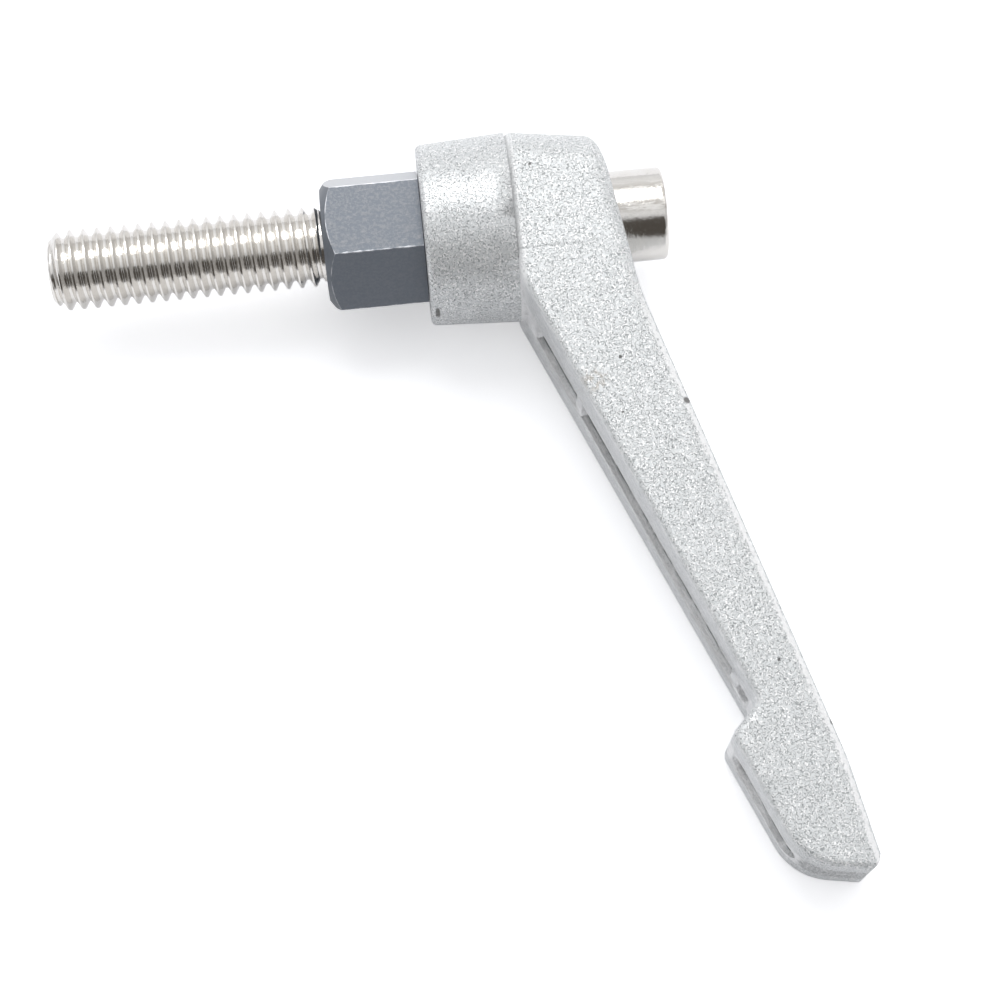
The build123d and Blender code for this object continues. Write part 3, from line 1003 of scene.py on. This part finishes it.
class LEVER_OT_stage(bpy.types.Operator):
    """Lay the floor, set the soft light and place the camera."""

    bl_idname = "clamping_lever.stage"
    bl_label = "Stage"

    def execute(self, context):
        scene = context.scene
        self.lay_floor(scene)
        self.light(scene)
        self.place_camera(scene)
        scene.view_settings.view_transform = "Standard"
        return {"FINISHED"}

    def lay_floor(self, scene):
        """A floor that keeps the shadow and shows as white to the camera and in gloss."""
        stage, finishes = scene.lever_stage, scene.lever_finishes
        material, floor = new_material("floor_paper")
        grain = floor.noise(floor.place(), 0.0008, 3.0)
        path = floor.node("ShaderNodeLightPath", outlet="Is Camera Ray")
        outputs = path.socket.node.outputs
        mirrored = Value(floor, outputs["Is Glossy Ray"]).most(Value(floor, outputs["Is Transmission Ray"]))
        seen = path * stage.floor_glow + mirrored * stage.mirrored_glow
        colour = floor.blend(grain * 0.02, finishes.floor, finishes.floor_fleck)
        paper = floor.node("ShaderNodeBsdfDiffuse", None, {"Color": colour}, "BSDF")
        glow = floor.node("ShaderNodeEmission", None, {"Color": (1, 1, 1, 1), "Strength": seen}, "Emission")
        sheet = floor.node("ShaderNodeAddShader", None, {0: paper, 1: glow}, "Shader")
        floor.node("ShaderNodeOutputMaterial", None, {"Surface": sheet})
        side = stage.floor_size / 2
        corners = [(-side, -side), (side, -side), (side, side), (-side, side)]
        mesh = bpy.data.meshes.new("floor")
        mesh.from_pydata([(x, y, FLOOR_HEIGHT) for x, y in corners], [], [(0, 1, 2, 3)])
        mesh.materials.append(material)
        piece = bpy.data.objects.new("floor", mesh)
        scene.collection.objects.link(piece)

    def light(self, scene):
        """A pale room, brighter overhead behind the lever and darker where the viewer stands, and one soft
        lamp.
        """
        stage = scene.lever_stage
        world = bpy.data.worlds.new("pale_room")
        world.use_nodes = True
        scene.world = world
        room = Board(world.node_tree)
        way = room.node("ShaderNodeTexCoord", outlet="Generated")
        overhead = room.along(way, OVERHEAD_WAY).rise(0.1, 0.95)
        viewer = room.along(way, VIEWER_WAY).rise(0.86, 0.93)
        beside = room.along(way, BESIDE_WAY).rise(0.80, 0.94)
        colour = room.blend(overhead, stage.room, stage.overhead)
        colour = room.blend(viewer, colour, stage.viewer)
        colour = room.blend(beside, colour, stage.beside)
        inputs = {"Color": colour, "Strength": stage.room_strength}
        light = room.node("ShaderNodeBackground", None, inputs, "Background")
        room.node("ShaderNodeOutputWorld", None, {"Surface": light})
        lamp = bpy.data.lights.new("soft_lamp", "AREA")
        lamp.shape = "DISK"
        lamp.size = stage.lamp_width
        lamp.energy = stage.lamp_power
        holder = bpy.data.objects.new("soft_lamp", lamp)
        holder.location = stage.lamp_place
        aim = Vector(stage.lamp_aim) - holder.location
        holder.rotation_euler = aim.to_track_quat("-Z", "Y").to_euler()
        scene.collection.objects.link(holder)

    def place_camera(self, scene):
        """A long lens above the arm, leaning towards the viewer's side."""
        lens = bpy.data.cameras.new("camera")
        lens.lens = scene.lever_stage.lens
        lens.sensor_width = 36
        lens.clip_start = 0.01
        lens.clip_end = 10
        holder = bpy.data.objects.new("camera", lens)
        holder.location = scene.lever_stage.camera_place
        holder.rotation_euler = scene.lever_stage.camera_turn
        scene.collection.objects.link(holder)
        scene.camera = holder


class LEVER_PT_sidebar(bpy.types.Panel):
    """Lists the pieces of the clamping lever."""

    bl_idname = "LEVER_PT_sidebar"
    bl_label = "Clamping lever"
    bl_space_type = "VIEW_3D"
    bl_region_type = "UI"
    bl_category = "Clamping lever"

    def draw(self, context):
        for operator in OPERATORS:
            self.layout.operator(operator.bl_idname)
        for group in (context.scene.lever_sizes, context.scene.lever_finishes, context.scene.lever_stage):
            box = self.layout.box()
            for name in group.__annotations__:
                box.prop(group, name)


OPERATORS = (
    LEVER_OT_stage,
    LEVER_OT_threaded_stud,
    LEVER_OT_hex_insert,
    LEVER_OT_retaining_screw,
    LEVER_OT_compression_spring,
    LEVER_OT_lever_handle,
)
CLASSES = (LeverSizes, LeverFinishes, LeverStage, *OPERATORS, LEVER_PT_sidebar)


def register():
    for each in CLASSES:
        bpy.utils.register_class(each)
    bpy.types.Scene.lever_sizes = PointerProperty(type=LeverSizes)
    bpy.types.Scene.lever_finishes = PointerProperty(type=LeverFinishes)
    bpy.types.Scene.lever_stage = PointerProperty(type=LeverStage)


def unregister():
    del bpy.types.Scene.lever_stage
    del bpy.types.Scene.lever_finishes
    del bpy.types.Scene.lever_sizes
    for each in reversed(CLASSES):
        bpy.utils.unregister_class(each)


def main():
    register()
    bpy.ops.clamping_lever.stage()
    bpy.ops.clamping_lever.threaded_stud()
    bpy.ops.clamping_lever.hex_insert()
    bpy.ops.clamping_lever.retaining_screw()
    bpy.ops.clamping_lever.compression_spring()
    bpy.ops.clamping_lever.lever_handle()


if __name__ == "__main__":
    main()
